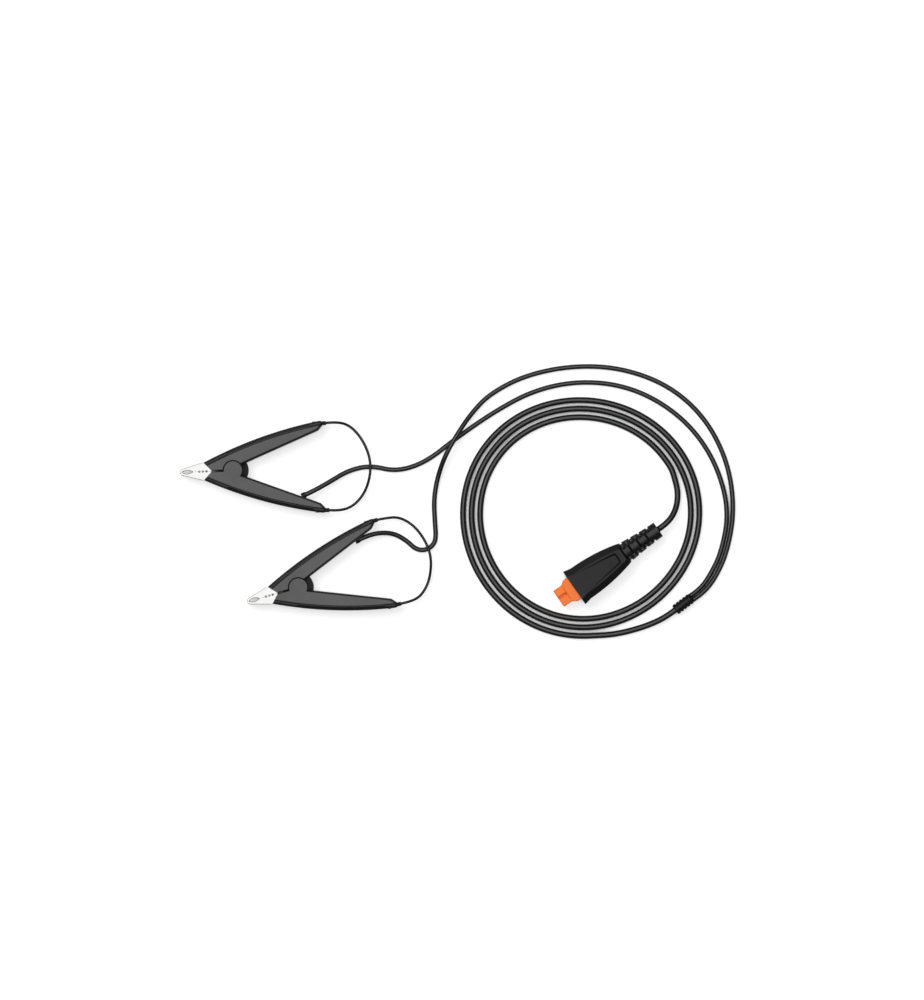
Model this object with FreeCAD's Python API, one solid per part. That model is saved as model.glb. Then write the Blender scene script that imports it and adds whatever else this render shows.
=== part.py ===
import FreeCAD, Part
import math
import os

# Kelvin clip lead set: two insulated clips, their branch cords, a splice, a coiled main cord
# and a keyed plug, all lying on one surface.
# Frame: +X from the clips to the coil, +Y across, +Z up from the surface. The origin is on the
# surface, under the middle of the clips, the splice and the plug. All sizes are millimetres.

FIT = 0.05               # gap between pieces that are fixed together
RUN = 0.05               # radial running clearance of the pivot
GAP = 0.3                # gap between pieces that move past each other

# Clip, in its own frame: pivot on the Z axis, +X toward the handles, cord side at -Y.
CLIP_H = 15.0            # height over the two outer faces
COVER_FRONT = 21.8       # pivot to the front corner of a cover
FRONT_HALF = 6.6         # half width at that corner
SEAM_FRONT = 16.2        # pivot to the front of the seam
SEAM_HALF = 0.6          # half of the gap between the covers
HANDLE_REACH = 69.0      # pivot to the tail end of a handle
HANDLE_ANGLE = 21.8      # slope of a handle's inner edge, degrees
TAIL_W = 6.6             # width of a handle at its tail
TAIL_BEVEL = 4.4         # tail end to the start of the bevel on its inner corner
BEVEL_ANGLE = 48.0
TIP_ROUND = 2.2          # rounding of the tail's tip
BOW = 3.4                # bow of a handle's outer edge over its chord
EDGE_R = 1.9             # rounding of a handle's long edges
SEAM_R = 0.45
WALL = 2.2               # wall of a cover
POCKET_HALF = 5.0        # half height of the hollow in a cover
GRIP_W = 2.9             # width of the strip that closes a handle's outer side
GRIP_STEP = 0.3          # how far the strip lies below the faces
GRIP_FALL = 0.9          # how far its face falls toward the outside
GRIP_EDGE = 1.0          # flat part of its outside that has the full fall
GRIP_BEND_R = 0.7
GRIP_FRONT = -4.0
GRIP_BACK = 59.0
GROOVE = 0.6             # width and depth of the line between cover and grip
MARK_X = 43.0            # three short sunk marks on the free half
MARK_W = 1.2
MARK_L = 1.8
MARK_DEPTH = 0.3
EAR_R = 6.75             # ears and boss around the pivot
EAR_GAP = 0.8            # an ear to the cover it turns against
OUTER_EAR = 2.9          # thickness of the outer ear
PIN_R = 2.0
PIN_SKIN = 1.2           # closed end of an outer ear, over the pin
DRUM_R = 11.6            # spring drum between the covers
DRUM_HALF = 1.7          # half height of the drum
DRUM_RIM = 1.6
DRUM_FLOOR = 0.7
HUB_R = 3.2
SPRING_R = 6.0           # mean radius of the torsion spring
SPRING_WIRE = 0.9
SPRING_LEG = 15.2        # pivot to the end of a spring leg
LEG_ANGLE = 34.0         # direction of the legs from the long axis, degrees

# Jaws and their contact strips.
JAW_REACH = 39.8         # pivot to the tip
JAW_HALF_H = 4.8         # half height of a jaw
JAW_T = 1.0              # sheet thickness
JAW_SLIT = 0.1           # half of the slit between the closed jaws
JAW_BACK = 12.9          # pivot to the rear end of a jaw, clear of the drum
TIP_R = 2.3
JAW_EDGE_R = 0.45        # rounding of a jaw's outer edges
JAW_BULGE_X = 31.1       # pivot to the place that sets the bow of a jaw's outer side
JAW_BULGE_HALF = 4.4
JAW_ROOT = 1.8           # how far the bow ends in front of the cover
EYE_BACK = 30.4          # pivot to the rear end of the gap behind the tip
EYE_LENGTH = 7.5
EYE_DEEPEST = 3.4        # rear end to the deepest place of the gap
EYE_DEPTH = 1.2
TOOTH_R = 0.9
TOOTH_PLACES = (25.1, 22.5, 19.9)
STRIP_T = 0.8
STRIP_GAP = 0.2          # jaw to strip
STRIP_LOW = 2.3
STRIP_HIGH = 3.7
STRIP_BACK = 36.0
TAG_LENGTH = 6.0

# Where wires leave the handles.
CORD_EXIT = 50.4         # pivot to the place where the cord crosses the inner edge
GROMMET_R = 2.2
GROMMET_OUT = 3.4        # length of the grommet from that place outward
GROMMET_BORE = 0.8       # that place to the end of the cord in it
ROOT_R = 1.3             # root of the grommet, through the cover's wall
ROOT_L = 4.6
WIRE_GROMMET_R = 1.55
WIRE_GROMMET_IN = 8.5
WIRE_GROMMET_OUT = 1.8

# Cords.
MAIN_D = 4.5
BRANCH_D = 3.6
JUMPER_D = 2.0
LEVEL_RUN = 9.0          # cord's level run from a clip

# Each clip: name, pivot, direction of its handles in degrees, turned over or not, and the
# direction in which the cord leaves, in degrees from the clip's long axis.
CLIPS = (("clip_1", -152.6, 35.3, 2.3, False, 21.0), ("clip_2", -103.8, -52.3, 15.8, True, -10.0))

# Plug, in its own frame: +X from the front face to the cable, axis at half height.
PLUG_FRONT = (91.0, -61.0)
PLUG_HEADING = 34.9
PLUG_H = 17.0
PRONG_L = 7.5
PRONG_W = 14.3
PRONG_H = 8.0
PRONG_SLOT = 2.4
SLOT_FLOOR = 9.6         # height of the floor of the slot between the prongs
SLOT_SHIFT = 0.25
INSERT_W = 18.8
INSERT_H = 12.0
INSERT_BACK = 24.0
SHOULDER = 3.0
INSERT_EDGE = 0.6        # bevel along the block
PRONG_EDGE_R = 0.7
LIP_X = 14.3             # front face of the plug body
LIP_HALF = 14.7
NECK_X = 20.3
NECK_HALF = 13.4
BODY_MID_HALF = 12.1
BODY_BACK_X = 60.0
BODY_BACK_HALF = 8.5
BODY_BEVEL = 4.7         # width and fall of the bevels along the body
BODY_FALL = 2.5
BODY_EDGE_R = 0.7
BODY_WALL = 2.4
SCOOP_FRONT = 18.0       # the thumb scoop is a ramp that sinks toward the cable
SCOOP_END = 54.5
SCOOP_HALF = 8.6         # half width at its front
SCOOP_BACK_HALF = 4.4    # half width at its end
SCOOP_DEPTH = 1.5
SCOOP_SLOPE = 1.3        # width of its sloped walls
SCOOP_CORNER = 2.0
CONTACT_R = 1.2
CONTACT_BORE = 0.6
CONTACT_FRONT = 0.4
CONTACT_BORE_L = 9.0
CONTACT_TAIL = 3.0
CONTACT_Z = 2.0
SCREW_X = (29.0, 52.0)
SCREW_R = 1.3
SCREW_HEAD_R = 2.4
SCREW_SUNK = 0.4         # bottom face to the screw's head
SCREW_HEAD_TOP = 2.0
SCREW_END = 4.6          # top face to the end of the screw
SCREW_SLOT = 0.6
POST_WALL = 0.8
BLOCK_GAP = 1.2          # screw post to the wire block
BLOCK_L = 9.0
BLOCK_HALF = 5.0
BLOCK_H = 7.0
WIRE_R = 1.0
WIRE_HALF = 2.6
RELIEF_END = 91.0
RELIEF_MID_R = 6.9
RELIEF_END_R = 6.2
RELIEF_SLOT = 1.7        # width of the slots
RELIEF_PITCH = 7.5
RELIEF_WEB = 2.6         # half width of the rib over a pair of side slots
RELIEF_BITE = 1.5        # how far the side slots cut in, seen from above
RELIEF_WALL = 1.4        # rubber between the cord and the slots

# Splice sleeve.
SPLICE_MIDDLE = (184.4, -65.0)
SPLICE_HEADING = 37.0
SPLICE_L = 14.6
SPLICE_R = 4.1
SPLICE_RIBS = 5
SPLICE_GROOVE = 1.0
SPLICE_GROOVE_DEPTH = 0.6
SPLICE_CHAMFER = 0.6
SPLICE_WALL = 3.5        # end wall that the branch cords come out of
FERRULE_R = 1.2
FERRULE_BORE = 0.8
FERRULE_HALF = 1.4
FERRULE_L = 6.0
SPLICE_BORE = 2.9
BUSH_L = 3.0
BRANCH_SPREAD = 1.85     # each branch cord's place beside the sleeve's axis

# Main coil: radius grows steadily, with a few soft waves of (size, phase in degrees).
COIL_MIDDLE = (108.7, -0.4)
COIL_START_R = 73.8
COIL_PITCH = 6.5
COIL_WAVES = ((2.3, 73.0), (0.9, -6.0), (0.7, 60.0))
COIL_FROM = 30.0 / 360.0
COIL_TO = 2.0 + 280.0 / 360.0


def vec(x, y, z=0.0):
    return FreeCAD.Vector(x, y, z)


def polar(radius, degrees, z=0.0):
    angle = math.radians(degrees)
    return vec(radius * math.cos(angle), radius * math.sin(angle), z)


def box(low, high):
    return Part.makeBox(high[0] - low[0], high[1] - low[1], high[2] - low[2], vec(*low))


def rod(radius, low, high, x=0.0, y=0.0):
    """Upright cylinder from z = low to z = high."""
    return Part.makeCylinder(radius, high - low, vec(x, y, low))


def rod_along(radius, start, heading, length):
    """Level cylinder from a point, along a heading in degrees."""
    return Part.makeCylinder(radius, length, start, polar(1.0, heading))


def prism(edges_or_points, low, high):
    """Upright prism between two heights, on points or on a closed list of edges."""
    if isinstance(edges_or_points[0], tuple):
        points = [vec(x, y) for x, y in edges_or_points]
        wire = Part.makePolygon(points + points[:1])
    else:
        wire = Part.Wire(edges_or_points)
    face = Part.Face(wire)
    face.translate(vec(0, 0, low))
    return face.extrude(vec(0, 0, high - low))


def turned_over(shape):
    """The same moulding turned half a turn about the long axis."""
    return shape.rotated(vec(0, 0), vec(1, 0, 0), 180.0)


def save(name, shape):
    shape.exportStep("parts/%s.step" % name)


# ---------------------------------------------------------------- clip halves

TOP = CLIP_H / 2.0
SLOPE = math.tan(math.radians(HANDLE_ANGLE))
INNER_START = 1.3        # how far the inner edge's line passes from the pivot


def inner_y(x):
    """The handle's inner edge, cord side."""
    return -(INNER_START + SLOPE * x)


FRONT_CORNER = vec(-COVER_FRONT, -FRONT_HALF)
TAIL_INNER_X = HANDLE_REACH - TAIL_BEVEL
TAIL_CORNER = vec(TAIL_INNER_X + 2.0, inner_y(TAIL_INNER_X + 2.0) - TAIL_W)
CHORD = TAIL_CORNER - FRONT_CORNER
BOW_POINT = (FRONT_CORNER + TAIL_CORNER) * 0.5 + vec(CHORD.y, -CHORD.x).normalize() * BOW
OUTER_CIRCLE = Part.Arc(FRONT_CORNER, BOW_POINT, TAIL_CORNER).toShape().Curve
OUTER_MIDDLE = OUTER_CIRCLE.Center
OUTER_R = OUTER_CIRCLE.Radius


def outer_y(x, inset=0.0):
    """The cover's outer edge, or a line that far inside it."""
    return OUTER_MIDDLE.y - math.sqrt((OUTER_R - inset) ** 2 - (x - OUTER_MIDDLE.x) ** 2)


def outer_disc(inset, low, high):
    """Upright disc whose rim is the outer edge, moved inward."""
    return rod(OUTER_R - inset, low, high, OUTER_MIDDLE.x, OUTER_MIDDLE.y)


def within(x_low, x_high, low, high, y_high=0.0):
    return box((x_low, -3.0 * HANDLE_REACH, low), (x_high, y_high, high))


INNER_LAYER_LOW = DRUM_HALF + GAP
WIRE_Y = outer_y(HANDLE_REACH) + 1.5 * WIRE_GROMMET_R


def half_blank():
    """One half's outside: a prism inside the outer arc, with its long edges rounded."""
    front_dx = COVER_FRONT - SEAM_FRONT
    front_dy = FRONT_HALF - SEAM_HALF
    seam_corner_x = (SEAM_HALF - INNER_START) / SLOPE
    beyond_x = -COVER_FRONT - 0.5 * front_dx
    bevel_x = TAIL_INNER_X + 2.0 * TAIL_W
    bevel_y = inner_y(TAIL_INNER_X) - 2.0 * TAIL_W * math.tan(math.radians(BEVEL_ANGLE))
    outline = [
        (beyond_x, -FRONT_HALF - 0.5 * front_dy),
        (-SEAM_FRONT, -SEAM_HALF),
        (seam_corner_x, -SEAM_HALF),
        (TAIL_INNER_X, inner_y(TAIL_INNER_X)),
        (bevel_x, bevel_y),
        (bevel_x, -3.0 * HANDLE_REACH),
        (beyond_x, -3.0 * HANDLE_REACH),
    ]
    blank = prism(outline, -TOP, TOP).common(outer_disc(0.0, -TOP, TOP))
    tip = [e for e in blank.Edges if e.BoundBox.ZLength > TOP and e.BoundBox.XMin > TAIL_INNER_X + 1.0]
    blank = blank.makeFillet(TIP_ROUND, tip)
    rims = [e for e in blank.Edges if e.BoundBox.ZLength < 1e-6 and e.BoundBox.XMax > 0.0]
    blank = blank.makeFillet(EDGE_R, rims)
    seams = [e for e in blank.Edges if e.BoundBox.YLength < 1e-3 and e.BoundBox.ZLength < 1e-3
             and abs(e.BoundBox.YMax + SEAM_HALF) < 1e-3]
    return blank.makeFillet(SEAM_R, seams)


def ear_bores():
    return rod(PIN_R + RUN, -TOP + PIN_SKIN, TOP - PIN_SKIN)


EXIT_POINT = vec(CORD_EXIT, inner_y(CORD_EXIT))
ROOT_HEADING = -90.0 - HANDLE_ANGLE


def grip_ring():
    """Ring under the outer edge: level beside the cover, falling outward, with bent corners."""
    face = TOP - GRIP_STEP
    inner = OUTER_R - GRIP_W
    bend = OUTER_R - GRIP_EDGE
    fall = face - GRIP_FALL
    corner = fall - GRIP_EDGE
    half = [(inner, face), (bend, fall), (OUTER_R, corner)]
    points = [vec(x, 0, z) for x, z in half + [(x, -z) for x, z in reversed(half)]]
    ring = Part.Face(Part.makePolygon(points + points[:1])).revolve(vec(0, 0), vec(0, 0, 1), 360.0)
    bends = [e for e in ring.Edges if e.BoundBox.ZLength < 1e-6
             and abs(e.BoundBox.XMax - bend) < 1e-3]
    ring = ring.makeFillet(GRIP_BEND_R, bends)
    ring.translate(OUTER_MIDDLE)
    return ring


def cover_and_grip(blank, cord_heading=None):
    """A cover and the grip strip that closes its outer side."""
    pocket_back = GRIP_BACK - 3.0
    pocket_front = DRUM_R + 5.5
    inner_wall = WALL / math.cos(math.radians(HANDLE_ANGLE))
    rear_pocket = prism([(pocket_front, inner_y(pocket_front) - inner_wall),
                         (pocket_back, inner_y(pocket_back) - inner_wall),
                         (pocket_back, -3.0 * HANDLE_REACH),
                         (pocket_front, -3.0 * HANDLE_REACH)], -POCKET_HALF, POCKET_HALF)
    rear_pocket = rear_pocket.common(outer_disc(GRIP_W, -TOP, TOP))
    front_pocket = within(-2.0 * COVER_FRONT, -JAW_BACK + GAP, -POCKET_HALF, POCKET_HALF,
                          -SEAM_HALF - 1.5).common(outer_disc(WALL, -TOP, TOP))
    strip_slot = within(-JAW_BACK, pocket_front + 1.0, STRIP_LOW - 0.15, STRIP_HIGH + 0.15)
    strip_slot = strip_slot.common(outer_disc(WALL + JAW_T, -TOP, TOP))
    strip_slot = strip_slot.cut(outer_disc(WALL + JAW_T + STRIP_T + 2.0 * STRIP_GAP, -TOP, TOP))
    band = grip_ring().common(within(GRIP_FRONT, GRIP_BACK, -TOP, TOP))
    cover = blank.cut(within(GRIP_FRONT, GRIP_BACK, -TOP, TOP).cut(outer_disc(GRIP_W, -TOP, TOP)))
    line = outer_disc(GRIP_W - GROOVE / 2.0, -TOP, TOP).cut(outer_disc(GRIP_W + GROOVE / 2.0, -TOP, TOP))
    line = line.common(within(GRIP_FRONT, GRIP_BACK, -TOP, TOP))
    line = line.cut(box((-500, -500, -TOP + GROOVE), (500, 500, TOP - GROOVE)))
    own_ears = rod(EAR_R, TOP - OUTER_EAR, TOP).fuse(rod(EAR_R, -TOP + OUTER_EAR + GAP, -INNER_LAYER_LOW))
    other_ears = rod(EAR_R + EAR_GAP, -TOP - 1.0, -TOP + OUTER_EAR + GAP)
    other_ears = other_ears.fuse(rod(EAR_R + EAR_GAP, INNER_LAYER_LOW - GAP, TOP - OUTER_EAR))
    drum_room = rod(DRUM_R + 1.3 * GAP, -DRUM_HALF - GAP, DRUM_HALF + GAP)
    cover = cover.cut(other_ears).fuse(own_ears).cut(drum_room.cut(own_ears))
    cover = cover.cut(rear_pocket).cut(front_pocket).cut(strip_slot).cut(ear_bores()).cut(line)
    leg_bore = Part.makeCylinder(SPRING_WIRE, SPRING_LEG + 1.0, vec(0, 0, -SPRING_WIRE / 2.0),
                                 polar(1.0, -LEG_ANGLE))
    cover = cover.cut(leg_bore.cut(rod(DRUM_R, -TOP, TOP)))
    wire_hole = rod_along(WIRE_GROMMET_R + FIT, vec(HANDLE_REACH - WIRE_GROMMET_IN, WIRE_Y), 0.0,
                          WIRE_GROMMET_IN + 5.0)
    cover = cover.cut(wire_hole)
    if cord_heading is not None:
        cover = cover.cut(rod_along(GROMMET_R + FIT, EXIT_POINT, cord_heading, HANDLE_REACH))
        cover = cover.cut(rod_along(ROOT_R + FIT, EXIT_POINT, ROOT_HEADING, ROOT_L + FIT))
    else:
        for step in range(3):
            x = MARK_X + 2.0 * MARK_W * step
            y = inner_y(x) - EDGE_R - MARK_L
            for face in (-TOP, TOP):
                mark = box((x, y, -MARK_DEPTH), (x + MARK_W, y + MARK_L, MARK_DEPTH))
                mark.translate(vec(0, 0, face))
                cover = cover.cut(mark)
    return cover.removeSplitter(), band.cut(line)


def jaw():
    """Pressed jaw: a channel open toward the closing line, with half-round teeth."""
    tip_x = -JAW_REACH + TIP_R
    eye_front = -EYE_BACK - EYE_LENGTH
    bow = (-JAW_BULGE_X, -JAW_BULGE_HALF)
    root = (-COVER_FRONT - JAW_ROOT, -FRONT_HALF + 0.1)
    plate = prism([
        Part.makeLine(vec(-JAW_REACH, -JAW_SLIT), vec(eye_front, -JAW_SLIT)),
        Part.Arc(vec(eye_front, -JAW_SLIT), vec(-EYE_BACK - EYE_DEEPEST, -JAW_SLIT - EYE_DEPTH),
                 vec(-EYE_BACK, -JAW_SLIT)).toShape(),
        Part.makeLine(vec(-EYE_BACK, -JAW_SLIT), vec(-JAW_BACK, -JAW_SLIT)),
        Part.makeLine(vec(-JAW_BACK, -JAW_SLIT), vec(-JAW_BACK, -FRONT_HALF - 1.0)),
        Part.makeLine(vec(-JAW_BACK, -FRONT_HALF - 1.0), vec(*root)),
        Part.Arc(vec(*root), vec(*bow), vec(tip_x, -TIP_R - 0.3)).toShape(),
        Part.Arc(vec(tip_x, -TIP_R - 0.3), vec(tip_x - 0.75 * TIP_R, -0.6 * TIP_R),
                 vec(-JAW_REACH, -JAW_SLIT)).toShape(),
    ], -JAW_HALF_H, JAW_HALF_H)
    rims = [e for e in plate.Edges if e.BoundBox.ZLength < 1e-6 and e.BoundBox.YMin < -0.5 * TIP_R
            and e.BoundBox.YLength > JAW_EDGE_R and e.BoundBox.XMax < -COVER_FRONT]
    plate = plate.makeFillet(JAW_EDGE_R, rims)
    behind_front = prism([(-COVER_FRONT - 0.06, -FRONT_HALF), (-SEAM_FRONT - 0.06, -SEAM_HALF),
                          (-SEAM_FRONT - 0.06, 5.0), (0.0, 5.0), (0.0, -40.0),
                          (-COVER_FRONT - 0.06, -40.0)], -TOP, TOP)
    tail = within(-COVER_FRONT + 1.5, -JAW_BACK, -JAW_HALF_H, JAW_HALF_H, -SEAM_HALF - 1.5 - FIT)
    tail = tail.common(outer_disc(WALL + FIT, -TOP, TOP))
    shape = plate.cut(behind_front).fuse(tail)
    channel = prism([(-JAW_REACH + 1.6, 1.0), (-JAW_REACH + 1.6, -1.0),
                     (bow[0], bow[1] + JAW_T),
                     (-COVER_FRONT - 2.5, -FRONT_HALF + 0.5 + JAW_T),
                     (-COVER_FRONT + 1.0, outer_y(-COVER_FRONT + 1.0, WALL + JAW_T) + 0.1),
                     (-COVER_FRONT + 4.0, outer_y(-COVER_FRONT + 4.0, WALL + JAW_T) + 0.02),
                     (0.0, outer_y(0.0, WALL + JAW_T)), (0.0, 1.0)],
                    -JAW_HALF_H + JAW_T, JAW_HALF_H - JAW_T)
    shape = shape.cut(channel)
    for place in TOOTH_PLACES:
        shape = shape.cut(rod(TOOTH_R, -TOP, TOP, -place, 0.0))
    return shape.removeSplitter()


def strip():
    """Flat contact strip from the jaw to the solder tag inside the handle."""
    ring = outer_disc(WALL + JAW_T + STRIP_GAP, STRIP_LOW, STRIP_HIGH)
    ring = ring.cut(outer_disc(WALL + JAW_T + STRIP_GAP + STRIP_T, -TOP, TOP))
    bar = ring.common(within(-JAW_BACK - 3.0, STRIP_BACK, -TOP, TOP))
    tag = outer_disc(WALL + JAW_T + STRIP_GAP, -2.6, STRIP_HIGH)
    tag = tag.cut(outer_disc(WALL + JAW_T + STRIP_GAP + STRIP_T, -TOP, TOP))
    tag = tag.common(within(STRIP_BACK - TAG_LENGTH, STRIP_BACK, -TOP, TOP))
    eye = Part.makeCylinder(1.0, 60.0, vec(STRIP_BACK - TAG_LENGTH / 2.0, 0.0, -0.2), vec(0, -1, 0))
    return bar.fuse(tag).cut(eye).removeSplitter()


def drum():
    """Open drum that holds the spring, with a window in its rim for the moving leg."""
    shape = rod(DRUM_R, -DRUM_HALF, DRUM_HALF)
    shape = shape.cut(rod(DRUM_R - DRUM_RIM, -DRUM_HALF + DRUM_FLOOR, TOP).cut(rod(HUB_R, -TOP, TOP)))
    shape = shape.cut(rod(PIN_R + RUN, -TOP, TOP))
    window_from = -LEG_ANGLE - 6.0
    window_to = LEG_ANGLE + 6.0
    sector = Part.makeCylinder(DRUM_R + 2.0, 2.0 * SPRING_WIRE + 0.5, vec(0, 0, -SPRING_WIRE - 0.1),
                               vec(0, 0, 1), window_to - window_from)
    sector.rotate(vec(0, 0), vec(0, 0, 1), window_from)
    return shape.cut(sector.cut(rod(DRUM_R - DRUM_RIM - 1.0, -TOP, TOP)))


def spring():
    """Torsion spring: two coils side by side and a straight leg into each cover."""
    wire_r = SPRING_WIRE / 2.0
    low = -wire_r
    high = 0.9 * wire_r
    shape = Part.makeTorus(SPRING_R, wire_r, vec(0, 0, low), vec(0, 0, 1))
    shape = shape.fuse(Part.makeTorus(SPRING_R, wire_r, vec(0, 0, high), vec(0, 0, 1)))
    for angle, z in ((-LEG_ANGLE, low), (LEG_ANGLE, high)):
        start = polar(SPRING_R, angle, z)
        shape = shape.fuse(Part.makeCylinder(wire_r, SPRING_LEG - SPRING_R, start, polar(1.0, angle)))
    return shape


def cord_grommet(heading):
    """Blunt collar round the cord, half in the handle's inner edge, with a root in the wall."""
    collar = rod_along(GROMMET_R, EXIT_POINT, heading, GROMMET_OUT)
    root = rod_along(ROOT_R, EXIT_POINT, ROOT_HEADING, ROOT_L)
    bore_start = EXIT_POINT + polar(GROMMET_BORE, heading)
    return collar.fuse(root).cut(rod_along(BRANCH_D / 2.0, bore_start, heading, GROMMET_OUT))


def wire_grommet():
    length = WIRE_GROMMET_IN + WIRE_GROMMET_OUT
    shape = rod_along(WIRE_GROMMET_R, vec(HANDLE_REACH - WIRE_GROMMET_IN, WIRE_Y), 0.0, length)
    return shape.cut(rod_along(JUMPER_D / 2.0, vec(HANDLE_REACH - WIRE_GROMMET_IN, WIRE_Y), 0.0,
                               length - 1.5))


def place_clip(shape, clip):
    """Put a piece from the clip's own frame where the clip lies."""
    placed = turned_over(shape) if clip[4] else shape.copy()
    placed.rotate(vec(0, 0), vec(0, 0, 1), clip[3])
    placed.translate(vec(clip[1], clip[2], TOP))
    return placed


def clip_point(clip, x, y):
    """A point at half height in the clip's own frame, cord side at -Y."""
    side = -1.0 if clip[4] else 1.0
    return vec(clip[1], clip[2], TOP) + rotate_xy(vec(x, side * y), clip[3])


def clip_heading(clip, degrees):
    return clip[3] + (-degrees if clip[4] else degrees)


def rotate_xy(point, degrees):
    angle = math.radians(degrees)
    return vec(point.x * math.cos(angle) - point.y * math.sin(angle),
               point.x * math.sin(angle) + point.y * math.cos(angle), point.z)


# ---------------------------------------------------------------- plug

PLUG_MID = PLUG_H / 2.0


def arc_through(a, b, c):
    return Part.Arc(vec(*a), vec(*b), vec(*c)).toShape()


def line_between(a, b):
    return Part.makeLine(vec(*a), vec(*b))


def plug_outline(inset):
    """Plan of the plug body: a flared lip, then sides that bow in toward the cable."""
    mid_x = (NECK_X + BODY_BACK_X) / 2.0 + 2.0
    lip = (LIP_X, LIP_HALF - inset)
    neck = (NECK_X, NECK_HALF - inset)
    mid = (mid_x, BODY_MID_HALF - inset)
    back = (BODY_BACK_X - 0.3 * inset, BODY_BACK_HALF - 0.8 * inset)
    flip = [(x, -y) for x, y in (lip, neck, mid, back)]
    return [line_between(lip, neck), arc_through(neck, mid, back), line_between(back, flip[3]),
            arc_through(flip[3], flip[2], flip[1]), line_between(flip[1], flip[0]),
            line_between(flip[0], lip)]


def thumb_scoop():
    """Room above the scoop: sloped walls that close in toward the cable, over a sinking floor."""
    wires = []
    for height, inset in ((PLUG_H - SCOOP_DEPTH, SCOOP_SLOPE), (PLUG_H, 0.0)):
        half = SCOOP_HALF - inset
        back_half = SCOOP_BACK_HALF - inset
        end = SCOOP_END - inset
        corners = [vec(x, y, height) for x, y in ((SCOOP_FRONT, half), (end, back_half),
                                                  (end, -back_half), (SCOOP_FRONT, -half))]
        wires.append(Part.makePolygon(corners + corners[:1]))
    room = Part.makeLoft(wires, True, True)
    bends = [e for e in room.Edges if e.BoundBox.ZLength > 0.9 * SCOOP_DEPTH
             and e.BoundBox.XMin > SCOOP_END - 2.0 * SCOOP_SLOPE]
    room = room.makeFillet(SCOOP_CORNER, bends)
    side = [vec(x, -SCOOP_HALF, z) for x, z in ((SCOOP_FRONT, PLUG_H), (SCOOP_END, PLUG_H),
                                                (SCOOP_END, PLUG_H - SCOOP_DEPTH))]
    ramp = Part.Face(Part.makePolygon(side + side[:1])).extrude(vec(0, 2.0 * SCOOP_HALF, 0))
    return room.common(ramp)


def plug_body():
    """Solid outside of the two shells, edges rounded, with the thumb scoop."""
    levels = [(0.0, BODY_BEVEL), (BODY_FALL, 0.0), (PLUG_H - BODY_FALL, 0.0), (PLUG_H, BODY_BEVEL)]
    wires = []
    for height, inset in levels:
        wire = Part.Wire(plug_outline(inset))
        wire.translate(vec(0, 0, height))
        wires.append(wire)
    body = Part.makeLoft(wires, True, True)
    rims = [e for e in body.Edges if e.BoundBox.ZLength < 1e-6 and e.BoundBox.XLength > LIP_HALF]
    body = body.makeFillet(BODY_EDGE_R, rims)
    return body.cut(thumb_scoop())


def insert():
    """Keyed insert: two prongs in front of a shouldered block."""
    low = PLUG_MID - INSERT_H / 2.0
    high = PLUG_MID + INSERT_H / 2.0
    block = prism([(PRONG_L, PRONG_W / 2.0), (PRONG_L + SHOULDER, INSERT_W / 2.0),
                   (INSERT_BACK, INSERT_W / 2.0), (INSERT_BACK, -INSERT_W / 2.0),
                   (PRONG_L + SHOULDER, -INSERT_W / 2.0), (PRONG_L, -PRONG_W / 2.0)], low, high)
    rims = [e for e in block.Edges if e.BoundBox.ZLength < 1e-6 and e.BoundBox.XMin < INSERT_BACK - 0.1]
    block = block.makeChamfer(INSERT_EDGE, rims)
    prongs = box((0, -PRONG_W / 2.0, PLUG_MID - PRONG_H / 2.0),
                 (PRONG_L + 1.0, PRONG_W / 2.0, PLUG_MID + PRONG_H / 2.0))
    bends = [e for e in prongs.Edges if e.BoundBox.XMin < PRONG_L]
    prongs = prongs.makeFillet(PRONG_EDGE_R, bends)
    slot_low = SLOT_SHIFT - PRONG_SLOT / 2.0
    slot = box((-1, slot_low, SLOT_FLOOR), (PRONG_L, slot_low + PRONG_SLOT, PLUG_H))
    return block.fuse(prongs).cut(slot).removeSplitter()


def contact_places():
    """Middle of each contact, across and up: two in each prong."""
    upper = (SLOT_SHIFT + PRONG_SLOT / 2.0 + PRONG_W / 2.0) / 2.0
    lower = (SLOT_SHIFT - PRONG_SLOT / 2.0 - PRONG_W / 2.0) / 2.0
    return [(y, PLUG_MID + z) for y in (upper, lower) for z in (-CONTACT_Z, CONTACT_Z)]


def along_x(radius, x_low, x_high, y, z):
    return Part.makeCylinder(radius, x_high - x_low, vec(x_low, y, z), vec(1, 0, 0))


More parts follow.
